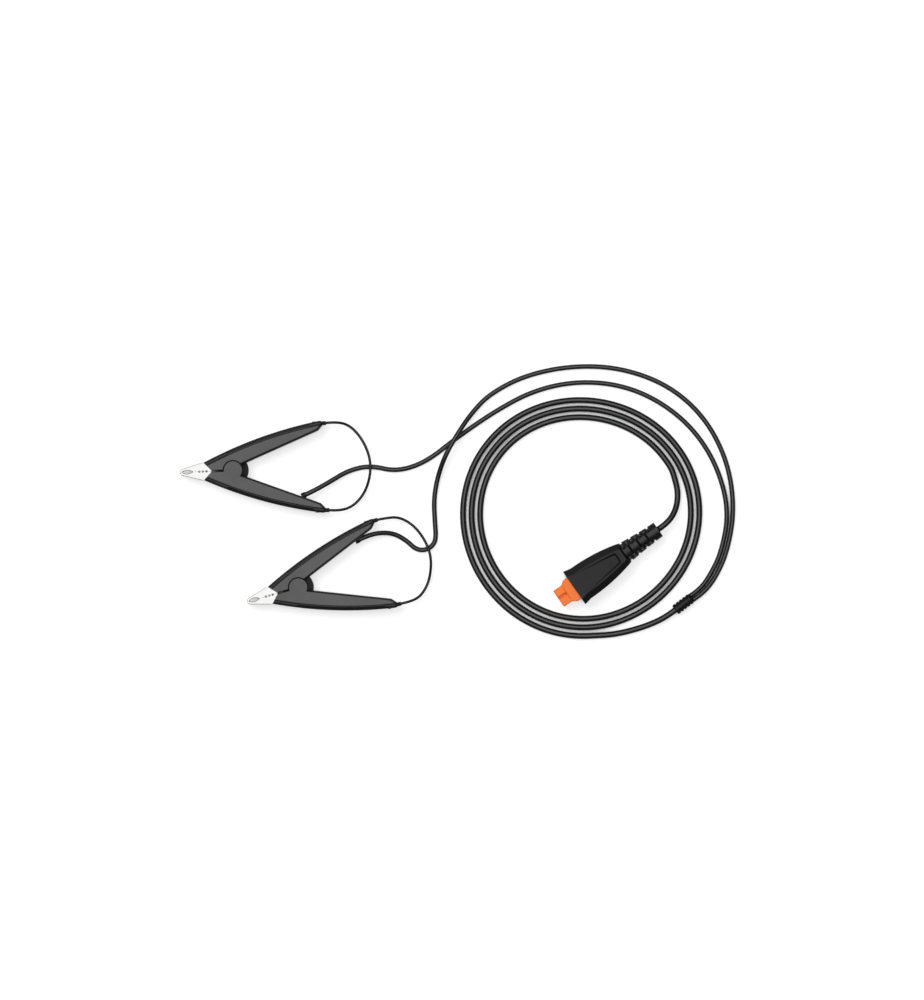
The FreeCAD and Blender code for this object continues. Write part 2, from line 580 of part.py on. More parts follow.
def relief():
    """Ribbed strain relief: a turned taper with staggered side and top slots."""
    profile = Part.Wire([
        Part.makeLine(vec(BODY_BACK_X, 0), vec(BODY_BACK_X, BODY_BACK_HALF - 0.1)),
        arc_through((BODY_BACK_X, BODY_BACK_HALF - 0.1),
                    ((BODY_BACK_X + RELIEF_END) / 2.0, RELIEF_MID_R), (RELIEF_END, RELIEF_END_R)),
        Part.makeLine(vec(RELIEF_END, RELIEF_END_R), vec(RELIEF_END, 0)),
        Part.makeLine(vec(RELIEF_END, 0), vec(BODY_BACK_X, 0)),
    ])
    shape = Part.Face(profile).revolve(vec(0, 0), vec(1, 0, 0), 360.0)
    span = RELIEF_END - BODY_BACK_X
    count = int((span - 3.0) / (RELIEF_PITCH / 2.0))
    core_half = MAIN_D / 2.0 + RELIEF_WALL
    beyond = BODY_BACK_HALF + 1.0
    for k in range(count):
        x = BODY_BACK_X + 1.0 + k * RELIEF_PITCH / 2.0
        radius_here = BODY_BACK_HALF + (RELIEF_END_R - BODY_BACK_HALF) * (x - BODY_BACK_X) / span
        slot = along_x(beyond, x, x + RELIEF_SLOT, 0, 0)
        kept = [(beyond, core_half)]
        if k % 2 == 0:
            kept = [(RELIEF_WEB, beyond), (radius_here - RELIEF_BITE, core_half)]
        for across, up in kept:
            slot = slot.cut(box((x, -across, -up), (x + RELIEF_SLOT, across, up)))
        shape = shape.cut(slot)
    shape.translate(vec(0, 0, PLUG_MID))
    return shape


def place_plug(shape):
    placed = shape.copy()
    placed.rotate(vec(0, 0), vec(0, 0, 1), PLUG_HEADING)
    placed.translate(vec(PLUG_FRONT[0], PLUG_FRONT[1], 0))
    return placed


def build_plug():
    body = plug_body()
    cavity = prism(plug_outline(BODY_WALL), BODY_WALL, PLUG_H - BODY_WALL)
    front_wall = box((0, -20, 0), (LIP_X + 2.0 * BODY_WALL, 20, PLUG_H))
    cavity = cavity.cut(front_wall)
    mouth = box((0, -INSERT_W / 2.0 - FIT, PLUG_MID - INSERT_H / 2.0 - FIT),
                (INSERT_BACK, INSERT_W / 2.0 + FIT, PLUG_MID + INSERT_H / 2.0 + FIT))
    tunnel = along_x(MAIN_D / 2.0 + 0.5, BODY_BACK_X - 2.0 * BODY_WALL, BODY_BACK_X + 1.0, 0, PLUG_MID)
    shells = body.cut(cavity).cut(mouth).cut(tunnel)
    post_top = PLUG_H - (BODY_WALL + SCOOP_DEPTH) / 2.0
    for x in SCREW_X:
        shells = shells.fuse(rod(SCREW_HEAD_R + POST_WALL, BODY_WALL / 2.0, post_top, x))
    screws = []
    for x in SCREW_X:
        head = rod(SCREW_HEAD_R, SCREW_SUNK, SCREW_HEAD_TOP, x)
        screw = head.fuse(rod(SCREW_R, SCREW_HEAD_TOP - 0.1, PLUG_H - SCREW_END, x))
        for half_x, half_y in ((SCREW_HEAD_R - SCREW_SUNK, SCREW_SLOT / 2.0),
                               (SCREW_SLOT / 2.0, SCREW_HEAD_R - SCREW_SUNK)):
            screw = screw.cut(box((x - half_x, -half_y, 0.0), (x + half_x, half_y, 2.5 * SCREW_SUNK)))
        screws.append(screw)
        shells = shells.cut(rod(SCREW_HEAD_R + FIT, -1.0, SCREW_HEAD_TOP + FIT, x))
        shells = shells.cut(rod(SCREW_R + FIT, SCREW_HEAD_TOP - 0.1, PLUG_H - SCREW_END + 0.1, x))
    lower = shells.common(box((0, -30, 0), (100, 30, PLUG_MID)))
    upper = shells.common(box((0, -30, PLUG_MID), (100, 30, PLUG_H)))
    keyed = insert()
    contacts = []
    for y, z in contact_places():
        pin = along_x(CONTACT_R, CONTACT_FRONT, INSERT_BACK + CONTACT_TAIL, y, z)
        contacts.append(pin.cut(along_x(CONTACT_BORE, 0.0, CONTACT_BORE_L, y, z)))
        keyed = keyed.cut(along_x(CONTACT_R + FIT, -1.0, INSERT_BACK + 1.0, y, z))
    block_low = SCREW_X[0] + SCREW_HEAD_R + BLOCK_GAP
    core = box((block_low, -BLOCK_HALF, PLUG_MID - BLOCK_H / 2.0),
               (block_low + BLOCK_L, BLOCK_HALF, PLUG_MID + BLOCK_H / 2.0))
    for y in (-WIRE_HALF, WIRE_HALF):
        core = core.cut(along_x(WIRE_R, 0.0, RELIEF_END, y, PLUG_MID))
    save("plug_lower_shell", place_plug(lower))
    save("plug_upper_shell", place_plug(upper))
    save("plug_insert", place_plug(keyed))
    save("plug_contacts", place_plug(Part.makeCompound(contacts)))
    save("plug_wire_block", place_plug(core))
    save("plug_screws", place_plug(Part.makeCompound(screws)))
    save("plug_strain_relief", place_plug(relief()))


# ---------------------------------------------------------------- cords

def tube(name, points, diameter):
    """Round tube along straight runs joined by tangent arcs, each as large as its runs allow."""
    points = [vec(*p) for p in points]
    edges = []
    radii = []
    length = 0.0
    last = points[0]
    for before, here, after in zip(points, points[1:], points[2:]):
        back = before - here
        ahead = after - here
        reach = 0.45 * min(back.Length, ahead.Length)
        back.normalize()
        ahead.normalize()
        half_turn = (math.pi - back.getAngle(ahead)) / 2.0
        radius = reach / math.tan(half_turn)
        inward = (back + ahead).normalize()
        start = here + back * reach
        finish = here + ahead * reach
        middle = here + inward * (radius / math.cos(half_turn) - radius)
        edges.append(Part.LineSegment(last, start).toShape())
        edges.append(Part.Arc(start, middle, finish).toShape())
        length += (start - last).Length + 2.0 * half_turn * radius
        radii.append(radius)
        last = finish
    edges.append(Part.LineSegment(last, points[-1]).toShape())
    length += (points[-1] - last).Length
    ring = Part.Wire(Part.makeCircle(diameter / 2.0, points[0], points[1] - points[0]))
    solid = Part.Wire(edges).makePipeShell([ring], True, False)
    volume = length * math.pi * diameter ** 2 / 4.0
    print("%s: length %.0f, radii %s, volume ratio %.4f, valid %s" % (
        name, length, " ".join("%.0f" % r for r in radii), solid.Volume / volume, solid.isValid()))
    save(name, solid)


def coil_radius(turns):
    """Distance of the cord's middle from the coil's middle after this many turns."""
    angle = 2.0 * math.pi * turns
    wave = sum(size * math.cos((k + 1) * angle - math.radians(phase))
               for k, (size, phase) in enumerate(COIL_WAVES))
    return COIL_START_R + COIL_PITCH * turns + wave


def coil_point(turns, beside=0.0):
    angle = 360.0 * turns
    return vec(COIL_MIDDLE[0], COIL_MIDDLE[1]) + polar(coil_radius(turns) + beside, angle)


def coil_loop(first_turn, beside):
    """Closed edges: one turn of the spiral in short arcs, and the straight step that shuts it."""
    steps = 24
    edges = []
    for k in range(steps):
        a, b, c = (coil_point(first_turn + (k + part) / steps, beside) for part in (0.0, 0.5, 1.0))
        edges.append(Part.Arc(a, b, c).toShape())
    edges.append(Part.makeLine(coil_point(first_turn + 1.0, beside), coil_point(first_turn, beside)))
    return edges


def coil():
    """The coil's outer shape: everything from its innermost edge to its outermost edge."""
    outside = prism(coil_loop(COIL_TO - 1.0, MAIN_D / 2.0), 0.0, MAIN_D)
    inside = prism(coil_loop(COIL_FROM, -MAIN_D / 2.0), -1.0, MAIN_D + 1.0)
    return outside.cut(inside)


def splice_frame(along, beside, z=SPLICE_R):
    """A point in the sleeve's frame: distance along its axis from the middle, and beside it."""
    return vec(SPLICE_MIDDLE[0], SPLICE_MIDDLE[1], z) + rotate_xy(vec(along, beside), SPLICE_HEADING)


def level_rod(radius, along_from, along_to, beside=0.0):
    return rod_along(radius, splice_frame(along_from, beside), SPLICE_HEADING, along_to - along_from)


def build_splice():
    half = SPLICE_L / 2.0
    sleeve = level_rod(SPLICE_R, -half, half)
    sleeve = sleeve.makeChamfer(SPLICE_CHAMFER, [e for e in sleeve.Edges if len(e.Vertexes) == 1])
    for k in range(1, SPLICE_RIBS):
        low = -half + SPLICE_L * k / SPLICE_RIBS - SPLICE_GROOVE / 2.0
        high = low + SPLICE_GROOVE
        groove = level_rod(SPLICE_R + 1.0, low, high)
        sleeve = sleeve.cut(groove.cut(level_rod(SPLICE_R - SPLICE_GROOVE_DEPTH, low, high)))
    sleeve = sleeve.cut(level_rod(SPLICE_BORE, -half - 1.0, half - SPLICE_WALL))
    bush = level_rod(SPLICE_BORE - FIT, -half, -half + BUSH_L)
    bush = bush.cut(level_rod(MAIN_D / 2.0 + FIT, -half - 1.0, half))
    start = -half + BUSH_L + 1.0
    ferrules = [level_rod(FERRULE_R, start, start + FERRULE_L, side).cut(
        level_rod(FERRULE_BORE, -half, half, side)) for side in (-FERRULE_HALF, FERRULE_HALF)]
    save("splice_sleeve", sleeve)
    save("splice_bush", bush)
    save("splice_ferrules", Part.makeCompound(ferrules))


def build_cords():
    save("main_cord_coil", coil())
    plug_exit = vec(PLUG_FRONT[0], PLUG_FRONT[1], PLUG_MID) + polar(RELIEF_END, PLUG_HEADING)
    start = plug_exit + polar(8.3, PLUG_HEADING)
    join = coil_point(COIL_FROM)
    tube("main_cord_plug_end", [
        tuple(plug_exit), (start.x, start.y, 8.0), (177.7, 3.1, 5.8), (180.3, 11.6, 3.2),
        (180.4, 20.5, MAIN_D / 2.0), (178.2, 29.2, MAIN_D / 2.0), (join.x, join.y, MAIN_D / 2.0)], MAIN_D)
    leave = coil_point(COIL_TO)
    half = SPLICE_L / 2.0
    entry = splice_frame(-half - 9.0, 0.0)
    inside = splice_frame(-half + BUSH_L, 0.0)
    tube("main_cord_splice_end", [
        (leave.x, leave.y, MAIN_D / 2.0), (134.9, -87.2, MAIN_D / 2.0), (146.3, -84.6, MAIN_D / 2.0),
        (158.6, -80.7, MAIN_D / 2.0), tuple(entry), tuple(inside)], MAIN_D)
    ends = []
    for clip in CLIPS:
        exit_point = clip_point(clip, EXIT_POINT.x, EXIT_POINT.y)
        heading = clip_heading(clip, clip[5])
        inside = exit_point + polar(GROMMET_BORE, heading)
        ahead = exit_point + polar(LEVEL_RUN, heading)
        ends.append([tuple(ahead), tuple(inside)])
    floor = BRANCH_D / 2.0
    tube("branch_cord_1", [
        tuple(splice_frame(half, BRANCH_SPREAD)), (196.6, -54.3, 3.4), (204.2, -44.3, floor),
        (213.2, -26.5, floor), (219.0, 5.0, floor), (210.0, 39.0, floor), (192.0, 67.0, floor),
        (166.0, 88.0, floor), (136.0, 100.0, floor), (103.0, 102.0, floor), (72.0, 95.0, floor),
        (44.0, 80.0, floor), (15.0, 60.0, floor), (-8.0, 41.6, floor), (-30.0, 34.3, floor),
        (-50.0, 39.0, floor), (-66.5, 35.2, 2.4), (-80.5, 26.6, 5.2)] + ends[0], BRANCH_D)
    tube("branch_cord_2", [
        tuple(splice_frame(half, -BRANCH_SPREAD)), (199.2, -57.1, 3.4), (208.4, -45.8, floor),
        (217.6, -26.0, floor), (223.2, 6.0, floor), (218.0, 42.0, floor), (201.0, 75.0, floor),
        (174.0, 99.0, floor), (139.0, 112.0, floor), (103.0, 114.0, floor), (67.0, 107.0, floor),
        (40.0, 93.0, floor), (26.5, 79.0, 3.4), (16.2, 64.0, 9.0), (6.6, 47.5, 9.0),
        (0.6, 31.0, 3.4), (-2.4, 14.0, floor), (-1.6, -3.0, floor), (-0.6, -16.4, floor),
        (-4.0, -22.1, floor), (-9.9, -24.8, floor), (-16.3, -23.6, floor), (-23.2, -17.0, floor),
        (-32.6, -11.8, 3.2), (-43.5, -11.4, 5.8)] + ends[1], BRANCH_D)
    routes = {
        "clip_1": [(-66.0, 69.6, 4.0), (-56.5, 59.6, 3.4), (-50.0, 45.2, 7.8), (-49.8, 31.0, 7.8),
                   (-54.5, 17.6, 3.4), (-63.3, 8.0, 4.0)],
        "clip_2": [(-11.6, -58.6, 4.4), (-5.4, -46.8, 3.2), (-4.0, -30.2, 7.8), (-8.6, -17.4, 7.8),
                   (-17.2, -6.0, 3.6), (-28.0, 0.3, 4.6)],
    }
    wire_x = HANDLE_REACH + WIRE_GROMMET_OUT + GAP
    for clip in CLIPS:
        free = clip_point(clip, wire_x, -WIRE_Y)
        fixed = clip_point(clip, wire_x, WIRE_Y)
        fixed_side = clip_heading(clip, 4.0 if clip[4] else -8.0)
        free_side = clip_heading(clip, 6.0)
        after = free + polar(6.6, free_side)
        before = fixed + polar(6.6, fixed_side)
        points = [tuple(free), (after.x, after.y, TOP - 0.5)] + routes[clip[0]]
        points += [(before.x, before.y, TOP - 0.5), tuple(fixed)]
        tube(clip[0] + "_jumper_wire", points, JUMPER_D)


# ---------------------------------------------------------------- the whole set

def build_clips():
    blank = half_blank()
    free_cover, grip = cover_and_grip(blank)
    pin = rod(PIN_R, -TOP + PIN_SKIN + FIT, TOP - PIN_SKIN - FIT)
    pieces = {
        "cord_grip": grip,
        "cord_jaw": jaw(),
        "cord_strip": strip(),
        "cord_wire_grommet": wire_grommet(),
        "pivot_pin": pin,
        "spring_drum": drum(),
        "spring": spring(),
        "free_cover": turned_over(free_cover),
        "free_grip": turned_over(grip),
        "free_jaw": turned_over(jaw()),
        "free_strip": turned_over(strip()),
        "free_wire_grommet": turned_over(wire_grommet()),
    }
    for clip in CLIPS:
        pieces["cord_cover"], _ = cover_and_grip(blank, clip[5])
        pieces["cord_grommet"] = cord_grommet(clip[5])
        for name, shape in pieces.items():
            save("%s_%s" % (clip[0], name), place_clip(shape, clip))


os.makedirs("parts", exist_ok=True)
build_clips()
build_plug()
build_splice()
build_cords()
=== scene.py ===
import bpy
import math
import numpy as np
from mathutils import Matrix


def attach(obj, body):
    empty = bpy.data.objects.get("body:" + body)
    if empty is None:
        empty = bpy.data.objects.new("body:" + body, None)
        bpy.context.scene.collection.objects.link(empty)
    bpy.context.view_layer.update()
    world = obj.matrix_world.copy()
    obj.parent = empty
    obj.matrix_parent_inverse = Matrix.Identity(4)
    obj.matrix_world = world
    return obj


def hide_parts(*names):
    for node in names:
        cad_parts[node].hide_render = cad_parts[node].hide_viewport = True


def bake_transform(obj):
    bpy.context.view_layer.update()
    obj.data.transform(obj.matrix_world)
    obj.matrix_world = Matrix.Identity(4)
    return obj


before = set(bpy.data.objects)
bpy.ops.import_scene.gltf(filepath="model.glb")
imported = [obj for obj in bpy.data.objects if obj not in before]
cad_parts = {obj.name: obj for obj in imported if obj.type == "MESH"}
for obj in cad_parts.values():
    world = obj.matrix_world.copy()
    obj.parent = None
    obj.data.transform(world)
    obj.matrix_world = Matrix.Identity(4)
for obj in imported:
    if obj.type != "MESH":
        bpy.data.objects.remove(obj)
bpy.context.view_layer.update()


# ---------------------------------------------------------------- camera
# A long lens looks straight down on the set from 5 m up, so that nothing leans outward.
# Its view is 0.75 m from top to bottom.
VIEW_HEIGHT = 0.75
CAMERA_OVER = (0.01875, 0.0131)
CAMERA_UP = 5.0
camera = bpy.data.objects.new("camera", bpy.data.cameras.new("camera"))
camera.data.sensor_width = 36.0
camera.data.lens = camera.data.sensor_width * CAMERA_UP / VIEW_HEIGHT
camera.data.clip_end = 4.0 * CAMERA_UP
camera.location = (*CAMERA_OVER, CAMERA_UP)
bpy.context.scene.collection.objects.link(camera)
bpy.context.scene.camera = camera


# ---------------------------------------------------------------- main cord
# The main cord is a 4.5 mm round cord with a smooth extruded rubber jacket. It leaves the plug's
# strain relief, drops to the surface, lies in a loose flat coil of almost three turns, and goes
# into the splice sleeve. It is one smooth line from end to end.
MAIN_D = 0.0045
MAIN_FLOOR = MAIN_D / 2.0
PLUG_END = [
    (0.16563, -0.00893, 0.0085), (0.17244, -0.00419, 0.0080), (0.17770, 0.00310, 0.0058),
    (0.18030, 0.01160, 0.0032), (0.18040, 0.02050, MAIN_FLOOR), (0.17820, 0.02920, MAIN_FLOOR),
]
SPLICE_END = [
    (0.13490, -0.08720, MAIN_FLOOR), (0.14630, -0.08460, MAIN_FLOOR),
    (0.15860, -0.08070, MAIN_FLOOR), (0.17138, -0.07481, 0.0041), (0.18097, -0.06759, 0.0041),
]
COIL_MIDDLE = (0.1087, -0.0004)
COIL_START_R = 0.0738
COIL_PITCH = 0.0065
COIL_WAVES = ((0.0023, 73.0), (0.0009, -6.0), (0.0007, 60.0))
COIL_FROM = 30.0 / 360.0
COIL_TO = 2.0 + 280.0 / 360.0
COIL_POINTS_PER_TURN = 24


def coil_route():
    """Points of the coil. The distance from its middle starts at one radius, grows by the pitch
    every turn, and has a few soft waves, each a cosine of a whole number times the angle."""
    count = int(round((COIL_TO - COIL_FROM) * COIL_POINTS_PER_TURN)) + 1
    turns = np.linspace(COIL_FROM, COIL_TO, count)
    angle = 2.0 * math.pi * turns
    size, phase = np.array(COIL_WAVES).T
    step = np.arange(1, len(size) + 1)
    waves = size * np.cos(step * angle[:, None] - np.radians(phase))
    radius = COIL_START_R + COIL_PITCH * turns + waves.sum(axis=1)
    return np.stack([COIL_MIDDLE[0] + radius * np.cos(angle),
                     COIL_MIDDLE[1] + radius * np.sin(angle),
                     np.full(count, MAIN_FLOOR)], axis=1)


def smooth_line(name, route):
    """Points along the smooth line that is pulled toward each point of the route in turn."""
    route = np.array(route, float)
    curve = bpy.data.curves.new(name + "_line", "CURVE")
    curve.dimensions = "3D"
    curve.resolution_u = 8
    spline = curve.splines.new("NURBS")
    spline.points.add(len(route) - 1)
    spline.points.foreach_set("co", np.c_[route, np.ones(len(route))].ravel())
    spline.order_u = 3
    spline.use_endpoint_u = True
    holder = bpy.data.objects.new(name + "_line", curve)
    mesh = bpy.data.meshes.new_from_object(holder)
    line = np.empty(3 * len(mesh.vertices), np.float32)
    mesh.vertices.foreach_get("co", line)
    bpy.data.objects.remove(holder)
    bpy.data.curves.remove(curve)
    bpy.data.meshes.remove(mesh)
    return line.reshape(-1, 3).astype(float)


def mesh_piece(name, points, faces, along=None):
    """A smooth mesh object at the origin. along gives each face corner's place on the surface."""
    mesh = bpy.data.meshes.new(name)
    mesh.from_pydata(points.reshape(-1, 3).tolist(), [], [tuple(f) for f in faces])
    mesh.shade_smooth()
    if along is not None:
        layer = mesh.uv_layers.new(name="along")
        layer.data.foreach_set("uv", np.asarray(along, np.float32).ravel())
    piece = bpy.data.objects.new(name, mesh)
    bpy.context.scene.collection.objects.link(piece)
    return piece


def jacket(name, line, diameter, sides=18):
    """Round tube: a circle is carried along the line, square to the line's direction at every
    point, and both ends are closed to a point in the middle."""
    ahead = np.gradient(line, axis=0)
    ahead /= np.linalg.norm(ahead, axis=1, keepdims=True)
    beside = np.cross((0.0, 0.0, 1.0), ahead)
    beside /= np.linalg.norm(beside, axis=1, keepdims=True)
    above = np.cross(ahead, beside)
    turn = 2.0 * math.pi * np.arange(sides) / sides
    rings = line[:, None, :] + diameter / 2.0 * (np.cos(turn)[None, :, None] * beside[:, None, :]
                                                 + np.sin(turn)[None, :, None] * above[:, None, :])
    count = len(line)
    points = np.concatenate([rings.reshape(-1, 3), line[:1], line[-1:]])
    ring, side = np.meshgrid(np.arange(count - 1), np.arange(sides), indexing="ij")
    nearer = ring * sides
    farther = nearer + sides
    beyond = (side + 1) % sides
    quads = np.stack([nearer + side, nearer + beyond, farther + beyond, farther + side], axis=-1)
    order = np.arange(sides)
    first, last = count * sides, count * sides + 1
    start = np.stack([(order + 1) % sides, order, np.full(sides, first)], axis=1)
    base = (count - 1) * sides
    end = np.stack([base + order, base + (order + 1) % sides, np.full(sides, last)], axis=1)
    run = np.concatenate([[0.0], np.cumsum(np.linalg.norm(np.diff(line, axis=0), axis=1))])
    u = np.stack([run[ring], run[ring], run[ring + 1], run[ring + 1]], axis=-1)
    v = np.stack([side, side + 1, side + 1, side], axis=-1) * math.pi * diameter / sides
    cap = np.zeros((2 * sides * 3, 2))
    cap[: sides * 3, 0] = run[0]
    cap[sides * 3:, 0] = run[-1]
    along = np.concatenate([np.stack([u, v], axis=-1).reshape(-1, 2), cap])
    faces = quads.reshape(-1, 4).tolist() + start.tolist() + end.tolist()
    return mesh_piece(name, points, faces, along)


def put(tree, kind, inputs=(), **settings):
    """Adds a shader node. Each of its inputs is given a value or another node's output."""
    made = tree.nodes.new("ShaderNode" + kind)
    for name, value in settings.items():
        setattr(made, name, value)
    for name, value in dict(inputs).items():
        if isinstance(value, bpy.types.NodeSocket):
            tree.links.new(value, made.inputs[name])
        else:
            made.inputs[name].default_value = value
    return made


def sum_of(tree, a, b, kind="ADD"):
    """The sum of two values, or their product, difference or maximum, as kind says."""
    return put(tree, "Math", {0: a, 1: b}, operation=kind).outputs[0]


def spread(tree, value, low, high, to_low=0.0, to_high=1.0):
    """Stretches the part of a value from low to high to a new range, and holds its ends beyond."""
    return put(tree, "MapRange", {"Value": value, "From Min": low, "From Max": high,
                                  "To Min": to_low, "To Max": to_high}).outputs["Result"]


def shader_group(name, takes, gives):
    """An empty node group with named inputs and outputs, as (name, socket kind, usual value)."""
    group = bpy.data.node_groups.new(name, "ShaderNodeTree")
    for label, kind, usual in takes:
        socket = group.interface.new_socket(label, in_out="INPUT", socket_type="NodeSocket" + kind)
        if usual is not None:
            socket.default_value = usual
    for label, kind in gives:
        group.interface.new_socket(label, in_out="OUTPUT", socket_type="NodeSocket" + kind)
    source = group.nodes.new("NodeGroupInput").outputs
    target = group.nodes.new("NodeGroupOutput").inputs
    return group, source, target


def use_group(tree, group, inputs):
    """Places a node group in a material, with its own values."""
    return put(tree, "Group", inputs, node_tree=group).outputs


def blank_finish(name):
    """A material with only its surface shader."""
    material = bpy.data.materials.new(name)
    material.use_nodes = True
    return material, material.node_tree, material.node_tree.nodes["Principled BSDF"]


def two_tone(tree, mask, dark, light):
    """A colour between two, as the mask goes from 0 to 1."""
    made = put(tree, "Mix", data_type="RGBA")
    colours = [s for s in made.inputs if s.type == "RGBA"]
    colours[0].default_value = (*dark, 1.0)
    colours[1].default_value = (*light, 1.0)
    tree.links.new(mask, made.inputs["Factor"])
    return [s for s in made.outputs if s.type == "RGBA"][0]


def wear_dust_group():
    """Handling marks on a moulded or extruded surface: a cloudy tone, dust specks and hairline
    scuffs, all from noise at the place on the object."""
    group, source, target = shader_group(
        "handling marks",
        [("Place", "Vector", None), ("Cloud Scale", "Float", 60.0), ("Speck Scale", "Float", 900.0)],
        [("Cloud", "Float"), ("Specks", "Float"), ("Scuffs", "Float")])
    cloud = put(group, "TexNoise", {"Vector": source["Place"], "Scale": source["Cloud Scale"],
                                    "Detail": 4.0, "Roughness": 0.6})
    speck = put(group, "TexNoise", {"Vector": source["Place"], "Scale": source["Speck Scale"],
                                    "Detail": 1.0})
    turned = put(group, "VectorRotate", {"Vector": source["Place"], "Angle": 0.7},
                 rotation_type="Z_AXIS").outputs["Vector"]
    drawn = put(group, "Mapping", {"Vector": turned, "Scale": (40.0, 1600.0, 1600.0)})
    scuff = put(group, "TexNoise", {"Vector": drawn.outputs["Vector"], "Scale": 1.0, "Detail": 2.0})
    group.links.new(cloud.outputs["Fac"], target["Cloud"])
    group.links.new(spread(group, speck.outputs["Fac"], 0.66, 0.74), target["Specks"])
    group.links.new(spread(group, scuff.outputs["Fac"], 0.68, 0.76), target["Scuffs"])
    return group


HANDLING = wear_dust_group()


def drawn_jacket_group():
    """Height of an extruded jacket: hairlines that run along the cord, from noise stretched along
    it, over a faint slow unevenness."""
    group, source, target = shader_group(
        "drawn jacket", [("Along", "Vector", None), ("Place", "Vector", None)],
        [("Height", "Float"), ("Lines", "Float")])
    stretched = put(group, "Mapping", {"Vector": source["Along"], "Scale": (30.0, 5000.0, 1.0)})
    lines = put(group, "TexNoise", {"Vector": stretched.outputs["Vector"], "Scale": 1.0,
                                    "Detail": 2.0})
    uneven = put(group, "TexNoise", {"Vector": source["Place"], "Scale": 260.0, "Detail": 2.0})
    height = sum_of(group, sum_of(group, lines.outputs["Fac"], 0.5, "MULTIPLY"),
                    uneven.outputs["Fac"])
    group.links.new(height, target["Height"])
    group.links.new(lines.outputs["Fac"], target["Lines"])
    return group


JACKET = drawn_jacket_group()


def cord_finish(name, dark, light, gloss, roughness):
    """Black extruded rubber: nearly black, greyer where dust and rubbing have dulled it."""
    material, tree, surface = blank_finish(name)
    where = put(tree, "TexCoord").outputs
    marks = use_group(tree, HANDLING, {"Place": where["Object"], "Cloud Scale": 45.0,
                                       "Speck Scale": 1100.0})
    drawn = use_group(tree, JACKET, {"Along": where["UV"], "Place": where["Object"]})
    dusty = sum_of(tree, sum_of(tree, marks["Cloud"], 0.6, "MULTIPLY"),
                   sum_of(tree, marks["Specks"], 0.4, "MULTIPLY"))
    tree.links.new(two_tone(tree, dusty, dark, light), surface.inputs["Base Color"])
    rough = sum_of(tree, spread(tree, drawn["Lines"], 0.3, 0.7, roughness - 0.03, roughness + 0.04),
                   sum_of(tree, marks["Cloud"], 0.05, "MULTIPLY"))
    tree.links.new(rough, surface.inputs["Roughness"])
    surface.inputs["Specular IOR Level"].default_value = gloss
    bump = put(tree, "Bump", {"Height": drawn["Height"], "Strength": 0.25, "Distance": 0.00012})
    tree.links.new(bump.outputs["Normal"], surface.inputs["Normal"])
    return material


main_line = smooth_line("main_cord", PLUG_END + coil_route().tolist() + SPLICE_END)
main_cord = jacket("main_cord", main_line, MAIN_D)
main_cord.data.materials.append(
    cord_finish("main cord rubber", dark=(0.0025, 0.0025, 0.0028), light=(0.0080, 0.0080, 0.0085),
                gloss=0.6, roughness=0.25))
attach(main_cord, "lead_set")
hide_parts("main_cord_coil", "main_cord_plug_end", "main_cord_splice_end")


# ---------------------------------------------------------------- branch cords
# Two thinner cords, 3.6 mm, leave the splice sleeve side by side, go round the coil in wide loose
# curves, and each runs into the grommet of one clip. The second lies over the first in a low hump.
BRANCH_D = 0.0036
BRANCH_FLOOR = BRANCH_D / 2.0
BRANCH_1 = [
    (0.18912, -0.05913, 0.0041), (0.19660, -0.05430, 0.0034), (0.20420, -0.04430, BRANCH_FLOOR),
    (0.21320, -0.02650, BRANCH_FLOOR), (0.21900, 0.00500, BRANCH_FLOOR),
    (0.21000, 0.03900, BRANCH_FLOOR), (0.19200, 0.06700, BRANCH_FLOOR),
    (0.16600, 0.08800, BRANCH_FLOOR), (0.13600, 0.10000, BRANCH_FLOOR),
    (0.10300, 0.10200, BRANCH_FLOOR), (0.07200, 0.09500, BRANCH_FLOOR),
    (0.04400, 0.08000, BRANCH_FLOOR), (0.01500, 0.06000, BRANCH_FLOOR),
    (-0.00800, 0.04160, BRANCH_FLOOR), (-0.03000, 0.03430, BRANCH_FLOOR),
    (-0.05000, 0.03900, BRANCH_FLOOR), (-0.06650, 0.03520, 0.0024), (-0.08050, 0.02660, 0.0052),
    (-0.09311, 0.01944, 0.0075), (-0.10064, 0.01620, 0.0075),
]
BRANCH_2 = [
    (0.19134, -0.06208, 0.0041), (0.19920, -0.05710, 0.0034), (0.20840, -0.04580, BRANCH_FLOOR),
    (0.21760, -0.02600, BRANCH_FLOOR), (0.22320, 0.00600, BRANCH_FLOOR),
    (0.21800, 0.04200, BRANCH_FLOOR), (0.20100, 0.07500, BRANCH_FLOOR),
    (0.17400, 0.09900, BRANCH_FLOOR), (0.13900, 0.11200, BRANCH_FLOOR),
    (0.10300, 0.11400, BRANCH_FLOOR), (0.06700, 0.10700, BRANCH_FLOOR),
    (0.04000, 0.09300, BRANCH_FLOOR), (0.02650, 0.07900, 0.0034), (0.01620, 0.06400, 0.0090),
    (0.00660, 0.04750, 0.0090), (0.00060, 0.03100, 0.0034), (-0.00240, 0.01400, BRANCH_FLOOR),
    (-0.00160, -0.00300, BRANCH_FLOOR), (-0.00060, -0.01640, BRANCH_FLOOR),
    (-0.00400, -0.02210, BRANCH_FLOOR), (-0.00990, -0.02480, BRANCH_FLOOR),
    (-0.01630, -0.02360, BRANCH_FLOOR), (-0.02320, -0.01700, BRANCH_FLOOR),
    (-0.03260, -0.01180, 0.0032), (-0.04350, -0.01140, 0.0058), (-0.05304, -0.01401, 0.0075),
    (-0.06043, -0.01758, 0.0075),
]
branch_finish = cord_finish("branch cord rubber", dark=(0.0025, 0.0025, 0.0028),
                            light=(0.009, 0.009, 0.0095), gloss=0.6, roughness=0.27)
